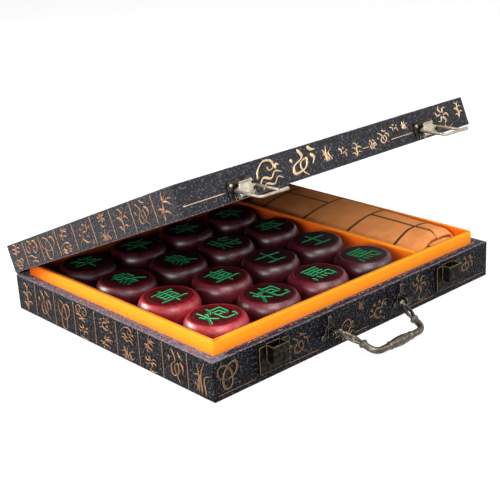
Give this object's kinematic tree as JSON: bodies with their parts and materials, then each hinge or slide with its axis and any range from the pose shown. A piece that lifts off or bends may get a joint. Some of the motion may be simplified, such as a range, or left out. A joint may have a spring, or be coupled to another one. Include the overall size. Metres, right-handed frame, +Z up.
{
  "type": "chess piece case",
  "caption": "Shallow wrapped wooden game case with a hinged lid, draw latches and a bail handle, holding two layers of round playing pieces and a folded sheet.",
  "frame": {"origin": "middle of the base's underside, on the surface that the box stands on", "axes": "+Z up, +X to the right along the front with the handle and latches, +Y towards the hinges"},
  "size_m": [0.25, 0.244, 0.1232],
  "materials": {
    "leatherette": "grained, embossed with copper-coloured ornaments",
    "board_wood": "plain fibreboard",
    "base_underside": "matt black paper",
    "flocked_tray": "board covered with yellow-orange flock",
    "lid_lining": "black flocked paper",
    "separator": "felt",
    "rosewood": "gloss lacquer",
    "playing_sheet": "suede side printed with a grid",
    "latch_metal": "pale nickel, worn",
    "antique_bronze": "antique bronze, rubbed on the edges"
  },
  "bodies": {
    "base": {"base_sole": "base_underside", "base_panel": "board_wood", "base_front_wall": "board_wood", "base_back_wall": "board_wood", "base_left_wall": "board_wood", "base_right_wall": "board_wood", "base_wrap": "leatherette", "tray_floor": "flocked_tray", "tray_front_wall": "flocked_tray", "tray_back_wall": "flocked_tray", "tray_left_wall": "flocked_tray", "tray_right_wall": "flocked_tray", "tray_divider": "flocked_tray", "separator_sheet": "separator", "lower_pieces": "rosewood", "hinge_base_leaf_left": "antique_bronze", "hinge_base_leaf_right": "antique_bronze", "hinge_pins": "antique_bronze", "hinge_spine": "leatherette", "keeper_left": "antique_bronze", "keeper_right": "antique_bronze", "handle_post_left": "antique_bronze", "handle_post_right": "antique_bronze", "base_nails": "antique_bronze"},
    "lid": {"lid_panel": "board_wood", "lid_front_wall": "board_wood", "lid_back_wall": "board_wood", "lid_left_wall": "board_wood", "lid_right_wall": "board_wood", "lid_wrap": "leatherette", "lid_lining": "lid_lining", "hinge_lid_leaf_left": "antique_bronze", "hinge_lid_leaf_right": "antique_bronze", "latch_plate_left": "latch_metal", "latch_plate_right": "latch_metal", "latch_pins": "latch_metal", "lid_nails": "latch_metal"},
    "latch_lever_left": {"latch_lever_left": "latch_metal"},
    "latch_lever_right": {"latch_lever_right": "latch_metal"},
    "latch_bail_left": {"latch_bail_left": "latch_metal"},
    "latch_bail_right": {"latch_bail_right": "latch_metal"},
    "handle": {"handle_bail": "antique_bronze"},
    "board": {"board_bundle": "playing_sheet"},
    "piece_row1_column1": {"piece_row1_column1": "rosewood"},
    "piece_row1_column2": {"piece_row1_column2": "rosewood"},
    "piece_row1_column3": {"piece_row1_column3": "rosewood"},
    "piece_row1_column4": {"piece_row1_column4": "rosewood"},
    "piece_row2_column1": {"piece_row2_column1": "rosewood"},
    "piece_row2_column2": {"piece_row2_column2": "rosewood"},
    "piece_row2_column3": {"piece_row2_column3": "rosewood"},
    "piece_row2_column4": {"piece_row2_column4": "rosewood"},
    "piece_row3_column1": {"piece_row3_column1": "rosewood"},
    "piece_row3_column2": {"piece_row3_column2": "rosewood"},
    "piece_row3_column3": {"piece_row3_column3": "rosewood"},
    "piece_row3_column4": {"piece_row3_column4": "rosewood"},
    "piece_row4_column1": {"piece_row4_column1": "rosewood"},
    "piece_row4_column2": {"piece_row4_column2": "rosewood"},
    "piece_row4_column3": {"piece_row4_column3": "rosewood"},
    "piece_row4_column4": {"piece_row4_column4": "rosewood"}
  },
  "joints": [
    {"name": "lid_hinge", "type": "hinge", "parent": "base", "child": "lid", "pos_m": [0, 0.1047, 0.0252], "axis": [-1, 0, 0], "range_deg": [-22.8, 152]},
    {"name": "latch_lever_left_turn", "type": "hinge", "parent": "lid", "child": "latch_lever_left", "pos_m": [-0.08, -0.08785, 0.10853], "axis": [1, 0, 0], "range_deg": [0, 110]},
    {"name": "latch_bail_left_swing", "type": "hinge", "parent": "latch_lever_left", "child": "latch_bail_left", "pos_m": [-0.08, -0.08693, 0.11226], "axis": [-1, 0, 0], "range_deg": [-64.4, 100]},
    {"name": "latch_lever_right_turn", "type": "hinge", "parent": "lid", "child": "latch_lever_right", "pos_m": [0.08, -0.08785, 0.10853], "axis": [1, 0, 0], "range_deg": [0, 110]},
    {"name": "latch_bail_right_swing", "type": "hinge", "parent": "latch_lever_right", "child": "latch_bail_right", "pos_m": [0.08, -0.08693, 0.11226], "axis": [-1, 0, 0], "range_deg": [-64.4, 100]},
    {"name": "handle_swing", "type": "hinge", "parent": "base", "child": "handle", "pos_m": [0, -0.1075, 0.0125], "axis": [-1, 0, 0], "range_deg": [0, 110]},
    {"name": "piece_row1_column1_lift", "type": "slide", "parent": "base", "child": "piece_row1_column1", "axis": [0, 0, 1], "range_m": [0, 0.055]},
    {"name": "piece_row1_column2_lift", "type": "slide", "parent": "base", "child": "piece_row1_column2", "axis": [0, 0, 1], "range_m": [0, 0.055]},
    {"name": "piece_row1_column3_lift", "type": "slide", "parent": "base", "child": "piece_row1_column3", "axis": [0, 0, 1], "range_m": [0, 0.055]},
    {"name": "piece_row1_column4_lift", "type": "slide", "parent": "base", "child": "piece_row1_column4", "axis": [0, 0, 1], "range_m": [0, 0.055]},
    {"name": "piece_row2_column1_lift", "type": "slide", "parent": "base", "child": "piece_row2_column1", "axis": [0, 0, 1], "range_m": [0, 0.042]},
    {"name": "piece_row2_column2_lift", "type": "slide", "parent": "base", "child": "piece_row2_column2", "axis": [0, 0, 1], "range_m": [0, 0.042]},
    {"name": "piece_row2_column3_lift", "type": "slide", "parent": "base", "child": "piece_row2_column3", "axis": [0, 0, 1], "range_m": [0, 0.042]},
    {"name": "piece_row2_column4_lift", "type": "slide", "parent": "base", "child": "piece_row2_column4", "axis": [0, 0, 1], "range_m": [0, 0.042]},
    {"name": "piece_row3_column1_lift", "type": "slide", "parent": "base", "child": "piece_row3_column1", "axis": [0, 0, 1], "range_m": [0, 0.026]},
    {"name": "piece_row3_column2_lift", "type": "slide", "parent": "base", "child": "piece_row3_column2", "axis": [0, 0, 1], "range_m": [0, 0.026]},
    {"name": "piece_row3_column3_lift", "type": "slide", "parent": "base", "child": "piece_row3_column3", "axis": [0, 0, 1], "range_m": [0, 0.026]},
    {"name": "piece_row3_column4_lift", "type": "slide", "parent": "base", "child": "piece_row3_column4", "axis": [0, 0, 1], "range_m": [0, 0.026]},
    {"name": "piece_row4_column1_lift", "type": "slide", "parent": "base", "child": "piece_row4_column1", "axis": [0, 0, 1], "range_m": [0, 0.01]},
    {"name": "piece_row4_column2_lift", "type": "slide", "parent": "base", "child": "piece_row4_column2", "axis": [0, 0, 1], "range_m": [0, 0.01]},
    {"name": "piece_row4_column3_lift", "type": "slide", "parent": "base", "child": "piece_row4_column3", "axis": [0, 0, 1], "range_m": [0, 0.01]},
    {"name": "piece_row4_column4_lift", "type": "slide", "parent": "base", "child": "piece_row4_column4", "axis": [0, 0, 1], "range_m": [0, 0.01]},
    {"name": "board_lift", "type": "slide", "parent": "base", "child": "board", "axis": [0, 0, 1], "range_m": [0, 0.008]}
  ]
}
